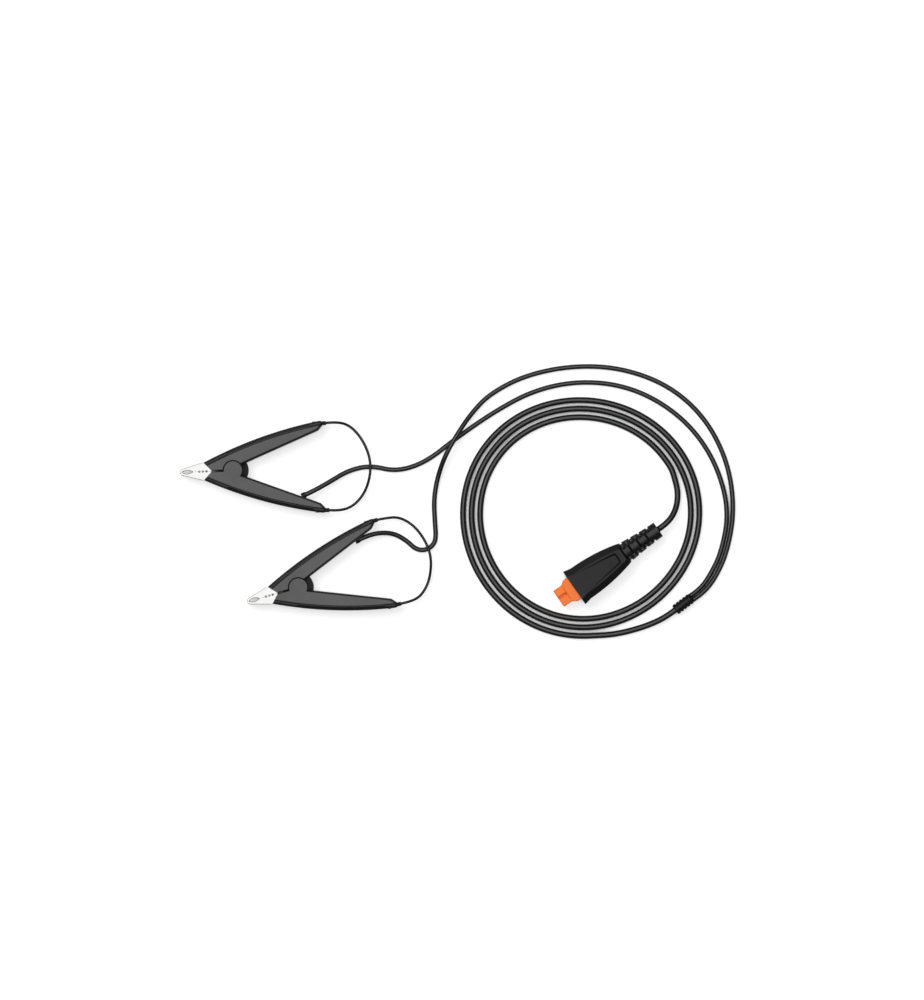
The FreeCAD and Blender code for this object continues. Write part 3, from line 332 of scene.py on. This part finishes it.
for name, route in (("branch_cord_1", BRANCH_1), ("branch_cord_2", BRANCH_2)):
    line = smooth_line(name, route)
    cord = jacket(name + "_jacket", line, BRANCH_D, sides=16)
    cord.data.materials.append(branch_finish)
    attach(cord, "lead_set")
    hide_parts(name)


# ---------------------------------------------------------------- jumper wires
# A thin insulated wire, 2 mm, joins the two handle tails of each clip in a limp loop that lies
# over the branch cord.
JUMPER_D = 0.0020
JUMPERS = {
    "clip_1": [(-0.08417, 0.07067, 0.0075), (-0.07633, 0.07167, 0.0070), (-0.06600, 0.06960, 0.0040),
               (-0.05650, 0.05960, 0.0034), (-0.05000, 0.04520, 0.0078), (-0.04980, 0.03100, 0.0078),
               (-0.05450, 0.01760, 0.0034), (-0.06330, 0.00800, 0.0040), (-0.07368, 0.00493, 0.0070),
               (-0.08155, 0.00554, 0.0075)],
    "clip_2": [(-0.02776, -0.06465, 0.0075), (-0.02001, -0.06318, 0.0070), (-0.01160, -0.05860, 0.0044),
               (-0.00540, -0.04680, 0.0032), (-0.00400, -0.03020, 0.0078), (-0.00860, -0.01740, 0.0078),
               (-0.01720, -0.00600, 0.0036), (-0.02800, 0.00030, 0.0046), (-0.03780, -0.00023, 0.0070),
               (-0.04551, -0.00193, 0.0075)],
}
jumper_finish = cord_finish("jumper insulation", dark=(0.0020, 0.0020, 0.0023),
                            light=(0.007, 0.007, 0.0075), gloss=0.4, roughness=0.27)
for clip, route in JUMPERS.items():
    line = smooth_line(clip + "_jumper", route)
    wire = jacket(clip + "_jumper_jacket", line, JUMPER_D, sides=12)
    wire.data.materials.append(jumper_finish)
    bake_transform(wire)
    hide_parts(clip + "_jumper_wire")


# ---------------------------------------------------------------- clip covers
# The covers and the grip strips along their outer sides are moulded in a hard black nylon with a
# fine spark-eroded grain. Handling has rubbed the grain a little smoother and shinier.
def paint(nodes, material):
    """Gives CAD pieces a finish, in every slot they have."""
    for name in nodes:
        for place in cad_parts[name].material_slots:
            place.material = material


def eroded_grain_group():
    """Height of a spark-eroded mould face: small rounded bumps of uneven size, from two noises,
    one at the grain's own size and one at a quarter of it."""
    group, source, target = shader_group(
        "eroded grain", [("Place", "Vector", None), ("Grain", "Float", 2200.0)],
        [("Height", "Float"), ("Tone", "Float")])
    coarse = put(group, "TexNoise", {"Vector": source["Place"], "Scale": source["Grain"],
                                     "Detail": 2.0, "Roughness": 0.55})
    fine_scale = sum_of(group, source["Grain"], 4.0, "MULTIPLY")
    fine = put(group, "TexNoise", {"Vector": source["Place"], "Scale": fine_scale, "Detail": 1.0})
    height = sum_of(group, coarse.outputs["Fac"], sum_of(group, fine.outputs["Fac"], 0.3, "MULTIPLY"))
    group.links.new(height, target["Height"])
    group.links.new(spread(group, coarse.outputs["Fac"], 0.3, 0.7), target["Tone"])
    return group


GRAIN = eroded_grain_group()


# These place the painted shade on the covers. Each pair is where an effect begins to fade and
# where it is gone, in metres. The pair for the recess's height is where the recess begins and where
# it is full.
CLIP_MID_Z = 0.0075
STRIP_EDGE = (0.0028, 0.0030)
LINE_AT = 0.0031
LINE_EDGE = (0.0003, 0.0005)
RECESS_EDGE = (0.0076, 0.0079)
RECESS_HEIGHT = (0.0020, 0.0025)


def side_line_group():
    """Masks for painted shade on a cover: the strip along a curved outer edge, the sunk line on its
    inner side, and the recess for the other half's ear. The strip and line are read from how far a
    place lies inside a circle: the strip is what lies less deep than its edge, and the line what lies
    close to its own depth. The recess is what lies near the pivot, above the clip's middle height
    where Side is 1, and below it where Side is -1."""
    group, source, target = shader_group(
        "side line", [("Place", "Vector", None), ("Middle", "Vector", None), ("Radius", "Float", 0.3),
                      ("Pivot", "Vector", None), ("Side", "Float", 1.0)],
        [("Band Shade", "Float"), ("Line", "Float"), ("Recess Shade", "Float")])
    flat = put(group, "VectorMath", {0: source["Place"], 1: (1.0, 1.0, 0.0)}, operation="MULTIPLY")
    away = put(group, "VectorMath", {0: flat.outputs["Vector"], 1: source["Middle"]},
               operation="DISTANCE")
    inset = sum_of(group, source["Radius"], away.outputs["Value"], "SUBTRACT")
    group.links.new(spread(group, inset, *STRIP_EDGE, 1.0, 0.0), target["Band Shade"])
    beside = put(group, "Math", {0: sum_of(group, inset, LINE_AT, "SUBTRACT")}, operation="ABSOLUTE")
    group.links.new(spread(group, beside.outputs[0], *LINE_EDGE, 1.0, 0.0), target["Line"])
    round_it = put(group, "VectorMath", {0: flat.outputs["Vector"], 1: source["Pivot"]},
                   operation="DISTANCE").outputs["Value"]
    height = put(group, "SeparateXYZ", {0: source["Place"]}).outputs["Z"]
    face = sum_of(group, sum_of(group, height, CLIP_MID_Z, "SUBTRACT"), source["Side"], "MULTIPLY")
    # Painted shade in the recess for the other half's ear.
    recess = sum_of(group, spread(group, round_it, *RECESS_EDGE, 1.0, 0.0),
                    spread(group, face, *RECESS_HEIGHT), "MULTIPLY")
    group.links.new(recess, target["Recess Shade"])
    return group


SIDE_LINE = side_line_group()


# The gloss kept where shade is painted: on the strip, and in the sunk line and the ear recess.
STRIP_SHADE_GLOSS = 0.4
SUNK_SHADE_GLOSS = 0.12


def moulded_finish(name, dark, light, gloss, roughness, grain, depth, edge=None):
    """Grained moulded plastic: the grain breaks up tone and gloss, and scuffs run across it. With
    edge, the inputs of the side line, shade is painted by taking gloss away: the strip keeps a share
    of the gloss, and the line and the recess keep less of it."""
    material, tree, surface = blank_finish(name)
    place = put(tree, "TexCoord").outputs["Object"]
    marks = use_group(tree, HANDLING, {"Place": place, "Cloud Scale": 35.0, "Speck Scale": 1300.0})
    eroded = use_group(tree, GRAIN, {"Place": place, "Grain": grain})
    tone = sum_of(tree, sum_of(tree, eroded["Tone"], 0.35, "MULTIPLY"),
                  sum_of(tree, marks["Cloud"], 0.45, "MULTIPLY"))
    tone = sum_of(tree, tone, sum_of(tree, marks["Scuffs"], 0.35, "MULTIPLY"))
    tree.links.new(two_tone(tree, tone, dark, light), surface.inputs["Base Color"])
    rough = sum_of(tree, spread(tree, marks["Cloud"], 0.35, 0.65, roughness - 0.04, roughness + 0.05),
                   sum_of(tree, marks["Scuffs"], -0.08, "MULTIPLY"))
    tree.links.new(rough, surface.inputs["Roughness"])
    surface.inputs["Specular IOR Level"].default_value = gloss
    bump = put(tree, "Bump", {"Height": eroded["Height"], "Strength": 0.5, "Distance": depth})
    if edge is not None:
        drawn = use_group(tree, SIDE_LINE, {"Place": place, **edge})
        # Painted shade: the strip, the sunk line and the ear recess lose gloss so that they read
        # darker.
        dulled = spread(tree, drawn["Band Shade"], 0.0, 1.0, gloss, STRIP_SHADE_GLOSS * gloss)
        sunk = sum_of(tree, drawn["Line"], drawn["Recess Shade"], "MAXIMUM")
        left = spread(tree, sunk, 0.0, 1.0, 1.0, SUNK_SHADE_GLOSS)
        tree.links.new(sum_of(tree, dulled, left, "MULTIPLY"), surface.inputs["Specular IOR Level"])
        bump = put(tree, "Bump", {"Height": drawn["Line"], "Strength": 0.6, "Distance": 0.0002,
                                  "Normal": bump.outputs["Normal"]}, invert=True)
    tree.links.new(bump.outputs["Normal"], surface.inputs["Normal"])
    return material


# Each clip has its pivot's x and y, its turn in degrees, and which of its faces is up. The covers'
# outer edge is an arc: its middle is in the clip's own frame, for the half whose side is 1.
PIVOTS = {"clip_1": (-0.1526, 0.0353, 2.3, 1.0), "clip_2": (-0.1038, -0.0523, 15.8, -1.0)}
CLIPS = tuple(PIVOTS)
HALVES = {"cord": 1.0, "free": -1.0}
EDGE_MIDDLE = (0.11711, 0.27912)
EDGE_R = 0.31770


def from_pivot(clip, points):
    """Carries points from a clip's own frame, pivot at the origin, to where the clip lies."""
    x, y, degrees, side = PIVOTS[clip]
    turn = math.radians(degrees)
    points = np.array(points, float).reshape(-1, 3)
    across = side * points[:, 1]
    return np.stack([x + points[:, 0] * math.cos(turn) - across * math.sin(turn),
                     y + points[:, 0] * math.sin(turn) + across * math.cos(turn),
                     CLIP_MID_Z + side * points[:, 2]], axis=1)


for clip in CLIPS:
    pivot_x, pivot_y, degrees, up = PIVOTS[clip]
    for half, side in HALVES.items():
        middle = from_pivot(clip, [EDGE_MIDDLE[0], side * EDGE_MIDDLE[1], 0.0])[0]
        edge = {"Middle": (middle[0], middle[1], 0.0), "Radius": EDGE_R,
                "Pivot": (pivot_x, pivot_y, 0.0), "Side": -side * up}
        cover_finish = moulded_finish(
            "%s %s cover nylon" % (clip, half), dark=(0.005, 0.005, 0.0053),
            light=(0.013, 0.013, 0.0135), gloss=0.66, roughness=0.31, grain=2600.0, depth=0.00005,
            edge=edge)
        paint(["%s_%s_cover" % (clip, half)], cover_finish)
grip_finish = moulded_finish("grip nylon", dark=(0.0035, 0.0035, 0.0038), light=(0.010, 0.010, 0.0105),
                             gloss=0.50, roughness=0.36, grain=3200.0, depth=0.00005)
paint(["%s_%s_grip" % (c, h) for c in CLIPS for h in HALVES], grip_finish)


# ---------------------------------------------------------------- jaws and contact strips
# The jaws are pressed from nickel-plated steel and the strips behind them are brass. Both are cut
# and folded sheet: rolling has left faint straight lines, and use has put scratches across them.
def rolled_sheet_group():
    """Height and tone of rolled sheet metal: fine lines along the rolling direction, and sparse
    scratches across it, both from stretched noise."""
    group, source, target = shader_group(
        "rolled sheet", [("Place", "Vector", None), ("Turn", "Float", 0.0)],
        [("Height", "Float"), ("Lines", "Float"), ("Scratches", "Float")])
    turned = put(group, "VectorRotate", {"Vector": source["Place"], "Angle": source["Turn"]},
                 rotation_type="Z_AXIS").outputs["Vector"]
    stretched = put(group, "Mapping", {"Vector": turned, "Scale": (120.0, 9000.0, 2000.0)})
    lines = put(group, "TexNoise", {"Vector": stretched.outputs["Vector"], "Scale": 1.0,
                                    "Detail": 3.0})
    crossed = put(group, "VectorRotate", {"Vector": turned, "Angle": 1.1}, rotation_type="Z_AXIS")
    sparse = put(group, "Mapping", {"Vector": crossed.outputs["Vector"],
                                    "Scale": (150.0, 2500.0, 900.0)})
    scratch = put(group, "TexNoise", {"Vector": sparse.outputs["Vector"], "Scale": 1.0, "Detail": 1.0})
    cut = spread(group, scratch.outputs["Fac"], 0.67, 0.75)
    height = sum_of(group, lines.outputs["Fac"], cut, "SUBTRACT")
    group.links.new(height, target["Height"])
    group.links.new(lines.outputs["Fac"], target["Lines"])
    group.links.new(cut, target["Scratches"])
    return group


SHEET = rolled_sheet_group()


def sheet_finish(name, dull, bright, roughness, turn):
    """Bare or plated sheet metal. turn brings its rolling direction to the X axis."""
    material, tree, surface = blank_finish(name)
    place = put(tree, "TexCoord").outputs["Object"]
    rolled = use_group(tree, SHEET, {"Place": place, "Turn": turn})
    marks = use_group(tree, HANDLING, {"Place": place, "Cloud Scale": 80.0, "Speck Scale": 1500.0})
    tone = sum_of(tree, sum_of(tree, rolled["Lines"], 0.6, "MULTIPLY"),
                  sum_of(tree, marks["Cloud"], 0.5, "MULTIPLY"))
    tree.links.new(two_tone(tree, tone, dull, bright), surface.inputs["Base Color"])
    rough = sum_of(tree, spread(tree, marks["Cloud"], 0.35, 0.65, roughness - 0.05, roughness + 0.06),
                   sum_of(tree, rolled["Scratches"], 0.12, "MULTIPLY"))
    tree.links.new(rough, surface.inputs["Roughness"])
    surface.inputs["Metallic"].default_value = 1.0
    bump = put(tree, "Bump", {"Height": rolled["Height"], "Strength": 0.35, "Distance": 0.00002})
    tree.links.new(bump.outputs["Normal"], surface.inputs["Normal"])
    return material


for clip in CLIPS:
    pivot_x, pivot_y, degrees, up = PIVOTS[clip]
    jaw_finish = sheet_finish(clip + " jaw nickel", dull=(0.36, 0.36, 0.355),
                              bright=(0.46, 0.46, 0.455), roughness=0.24, turn=-math.radians(degrees))
    strip_finish = sheet_finish(clip + " strip brass", dull=(0.52, 0.38, 0.16),
                                bright=(0.76, 0.58, 0.27), roughness=0.30,
                                turn=-math.radians(degrees))
    paint(["%s_%s_jaw" % (clip, h) for h in HALVES], jaw_finish)
    paint(["%s_%s_strip" % (clip, h) for h in HALVES], strip_finish)


# ---------------------------------------------------------------- pivot, drum and spring
# A hard black drum between the covers holds the torsion spring and keeps the two jaws apart.
# The steel pin goes through both covers and the drum's hub. The spring is 0.9 mm steel wire, wound
# round the hub, with a leg in each cover.
SPRING_WIRE_D = 0.0009
SPRING_LEG = 0.0152
LEG_DEGREES = 34.0
SPRING_TURNS = 1.0 + (360.0 - 2.0 * LEG_DEGREES) / 360.0
SPRING_POINTS_PER_TURN = 24
SPRING_R_LOW, SPRING_R_HIGH = 0.0052, 0.0074
SPRING_Z = (-0.00045, 0.00041)


def torsion_spring():
    """Route of the wire. A straight leg comes in along one ray, the distance from the pivot then
    grows evenly with the angle over the turns while the wire climbs, and the other leg goes out."""
    count = int(SPRING_POINTS_PER_TURN * SPRING_TURNS)
    share = (np.arange(count) + 1.0) / (count + 1.0)
    angle = -np.radians(LEG_DEGREES) - 2.0 * math.pi * SPRING_TURNS * share
    radius = SPRING_R_LOW + (SPRING_R_HIGH - SPRING_R_LOW) * share
    height = SPRING_Z[0] + (SPRING_Z[1] - SPRING_Z[0]) * share
    turns = np.stack([radius * np.cos(angle), radius * np.sin(angle), height], axis=1)
    legs = []
    for side, z in ((-1.0, SPRING_Z[0]), (1.0, SPRING_Z[1])):
        ray = side * math.radians(LEG_DEGREES)
        reach = np.array([SPRING_LEG, 0.5 * (SPRING_LEG + SPRING_R_HIGH), SPRING_R_HIGH])
        legs.append(np.stack([reach * math.cos(ray), reach * math.sin(ray), np.full(3, z)], axis=1))
    return np.concatenate([legs[0], turns, legs[1][::-1]])


drum_finish = moulded_finish("drum acetal", dark=(0.002, 0.002, 0.0022), light=(0.007, 0.007, 0.0075),
                             gloss=0.15, roughness=0.42, grain=1800.0, depth=0.00003)
pin_finish = sheet_finish("pin steel", dull=(0.42, 0.42, 0.43), bright=(0.62, 0.62, 0.63),
                          roughness=0.22, turn=0.0)
spring_finish = sheet_finish("spring wire", dull=(0.30, 0.30, 0.31), bright=(0.52, 0.51, 0.50),
                             roughness=0.26, turn=0.8)
paint([c + "_spring_drum" for c in CLIPS], drum_finish)
paint([c + "_pivot_pin" for c in CLIPS], pin_finish)
for clip in CLIPS:
    line = smooth_line(clip + "_spring", from_pivot(clip, torsion_spring()))
    spring = jacket(clip + "_spring_wire", line, SPRING_WIRE_D, sides=12)
    spring.data.materials.append(spring_finish)
    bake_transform(spring)
    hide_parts(clip + "_spring")


# ---------------------------------------------------------------- grommets
# Soft rubber grommets, pushed into the handles, keep the cord and the jumper wire from chafing.
grommet_finish = moulded_finish("grommet rubber", dark=(0.003, 0.003, 0.0033),
                                light=(0.009, 0.009, 0.0095), gloss=0.3, roughness=0.5,
                                grain=1500.0, depth=0.00004)
paint([c + "_cord_grommet" for c in CLIPS], grommet_finish)
paint(["%s_%s_wire_grommet" % (c, h) for c in CLIPS for h in HALVES], grommet_finish)


# ---------------------------------------------------------------- splice
# A ribbed rubber sleeve closes the place where the main cord meets the branch cords. Inside are a
# bush for the main cord and two crimped brass ferrules.
sleeve_finish = moulded_finish("sleeve rubber", dark=(0.003, 0.003, 0.0033),
                               light=(0.010, 0.010, 0.0105), gloss=0.22, roughness=0.42,
                               grain=1700.0, depth=0.00005)
ferrule_finish = sheet_finish("ferrule brass", dull=(0.50, 0.36, 0.15), bright=(0.74, 0.56, 0.26),
                              roughness=0.3, turn=-0.6)
paint(["splice_sleeve", "splice_bush"], sleeve_finish)
paint(["splice_ferrules"], ferrule_finish)


# ---------------------------------------------------------------- plug
# Two black moulded shells, screwed together, close on an orange keyed insert with brass contacts.
# A slotted rubber strain relief goes on over the cord at the back.
PLUG_AT = (0.091, -0.061)
PLUG_AXIS_Z = 0.0085
PLUG_TURN = math.radians(34.9)
SLOT_EDGE = (0.0052, 0.0056)
# Gloss on the slot floors, taken away as painted shade, and on the ribs.
SLOT_SHADE_GLOSS, RIB_GLOSS = 0.02, 0.38


def paint_slot_shade(finish):
    """Paints shade into the floors of the strain relief's slots by taking their gloss away. They are
    what lies nearest the plug's axis: a place is turned back by the plug's turn, and its distance
    from the axis is taken square to the axis, without its X."""
    tree = finish.node_tree
    place = put(tree, "TexCoord").outputs["Object"]
    square = put(tree, "Mapping", {"Vector": place, "Location": (0.0, 0.0, -PLUG_AXIS_Z),
                                   "Rotation": (0.0, 0.0, -PLUG_TURN)}).outputs["Vector"]
    off_axis = put(tree, "VectorMath", {0: square, 1: (0.0, 1.0, 1.0)}, operation="MULTIPLY")
    axis_y = PLUG_AT[1] * math.cos(PLUG_TURN) - PLUG_AT[0] * math.sin(PLUG_TURN)
    away = put(tree, "VectorMath", {0: off_axis.outputs["Vector"], 1: (0.0, axis_y, 0.0)},
               operation="DISTANCE").outputs["Value"]
    tree.links.new(spread(tree, away, *SLOT_EDGE, SLOT_SHADE_GLOSS, RIB_GLOSS),
                   tree.nodes["Principled BSDF"].inputs["Specular IOR Level"])


shell_finish = moulded_finish("shell plastic", dark=(0.004, 0.004, 0.0043),
                              light=(0.010, 0.010, 0.0105), gloss=0.25, roughness=0.44,
                              grain=2000.0, depth=0.00005)
insert_finish = moulded_finish("insert plastic", dark=(0.80, 0.16, 0.020), light=(0.95, 0.215, 0.034),
                               gloss=0.25, roughness=0.40, grain=2400.0, depth=0.00003)
block_finish = moulded_finish("block plastic", dark=(0.55, 0.54, 0.50), light=(0.70, 0.69, 0.65),
                              gloss=0.5, roughness=0.45, grain=2000.0, depth=0.00003)
contact_finish = sheet_finish("contact brass", dull=(0.55, 0.40, 0.17), bright=(0.80, 0.62, 0.30),
                              roughness=0.25, turn=-0.61)
screw_finish = sheet_finish("screw steel", dull=(0.40, 0.40, 0.41), bright=(0.60, 0.60, 0.61),
                            roughness=0.28, turn=0.3)
relief_finish = moulded_finish("relief rubber", dark=(0.003, 0.003, 0.0033),
                               light=(0.010, 0.010, 0.0105), gloss=RIB_GLOSS, roughness=0.40,
                               grain=1600.0, depth=0.00005)
paint_slot_shade(relief_finish)
paint(["plug_lower_shell", "plug_upper_shell"], shell_finish)
paint(["plug_insert"], insert_finish)
paint(["plug_wire_block"], block_finish)
paint(["plug_contacts"], contact_finish)
paint(["plug_screws"], screw_finish)
paint(["plug_strain_relief"], relief_finish)


# ---------------------------------------------------------------- table and light
# The set lies on a plain white table that glows faintly, as a light table does, so that shadows
# stay pale. The glow fades where parts close over the table, which paints shade under the jaws and
# beside the cords and handles. A wide soft light hangs up and to the left, under a white ceiling
# with dim walls.
# Neither the table nor the light shows in reflections.
FLOOR_HALF = 6.0
TABLE_WHITE = 0.44
TABLE_GLOW = 0.66
SHADE_REACH = 0.005
SHADE_EDGE = (0.30, 0.55)
corners = np.array([(-1, -1, 0), (1, -1, 0), (1, 1, 0), (-1, 1, 0)], float) * FLOOR_HALF
floor = mesh_piece("table", corners, [(0, 1, 2, 3)])
material, tree, surface = blank_finish("table white")
surface.inputs["Base Color"].default_value = (TABLE_WHITE, TABLE_WHITE, TABLE_WHITE, 1.0)
surface.inputs["Roughness"].default_value = 0.9
surface.inputs["Emission Color"].default_value = (1.0, 1.0, 1.0, 1.0)
# Painted shade: ambient occlusion takes the glow away where parts close over the table.
openness = put(tree, "AmbientOcclusion", {"Distance": SHADE_REACH}, samples=8).outputs["AO"]
glow_with_painted_shade = spread(tree, openness, *SHADE_EDGE, 0.0, TABLE_GLOW)
tree.links.new(glow_with_painted_shade, surface.inputs["Emission Strength"])
surface.inputs["Specular IOR Level"].default_value = 0.1
floor.data.materials.append(material)
floor.visible_glossy = False

LAMP_AT = (-0.75, 0.85, 1.7)
LAMP_AIMS_AT = (0.02, 0.01, 0.0)
lamp = bpy.data.objects.new("soft light", bpy.data.lights.new("soft light", "AREA"))
lamp.data.shape = "DISK"
lamp.data.size = 1.4
lamp.data.energy = 20.0
lamp.visible_glossy = False
lamp.location = LAMP_AT
aim = np.subtract(LAMP_AIMS_AT, lamp.location)
lamp.rotation_euler = (math.atan2(math.hypot(aim[0], aim[1]), -aim[2]), 0.0,
                       math.atan2(aim[0], -aim[1]) + math.pi)
bpy.context.scene.collection.objects.link(lamp)

# The ceiling is a bright patch of sky round one direction. Its edge is given as the cosine of the
# angle from there. The walls go from one strength to the next as a direction rises.
CEILING_TOWARD = (-0.14, 0.16, 0.977)
CEILING_EDGE = (0.78, 0.93)
CEILING_LIGHT = 2.36
FOOT_RISE, FOOT_LIGHT, WALL_LIGHT = (-0.5, 0.0), 0.40, 0.16
TOP_RISE, TOP_SHARE = (0.35, 0.60), 0.25
world = bpy.data.worlds.new("white room")
bpy.context.scene.world = world
world.use_nodes = True
tree = world.node_tree
background = tree.nodes["Background"]
direction = put(tree, "TexCoord").outputs["Generated"]
toward = put(tree, "VectorMath", {0: direction, 1: CEILING_TOWARD}, operation="DOT_PRODUCT")
ceiling = spread(tree, toward.outputs["Value"], *CEILING_EDGE, 0.0, CEILING_LIGHT)
rise = put(tree, "SeparateXYZ", {0: direction}).outputs["Z"]
walls = sum_of(tree, spread(tree, rise, *FOOT_RISE, FOOT_LIGHT, WALL_LIGHT),
               spread(tree, rise, *TOP_RISE, 1.0, TOP_SHARE), "MULTIPLY")
room = sum_of(tree, ceiling, walls)
seen = put(tree, "LightPath").outputs["Is Camera Ray"]
strength = put(tree, "Mix", {"Factor": seen, 2: room, 3: 1.0}, data_type="FLOAT")
tree.links.new(strength.outputs[0], background.inputs["Strength"])
background.inputs["Color"].default_value = (1.0, 1.0, 1.0, 1.0)
bpy.context.scene.view_settings.view_transform = "Standard"
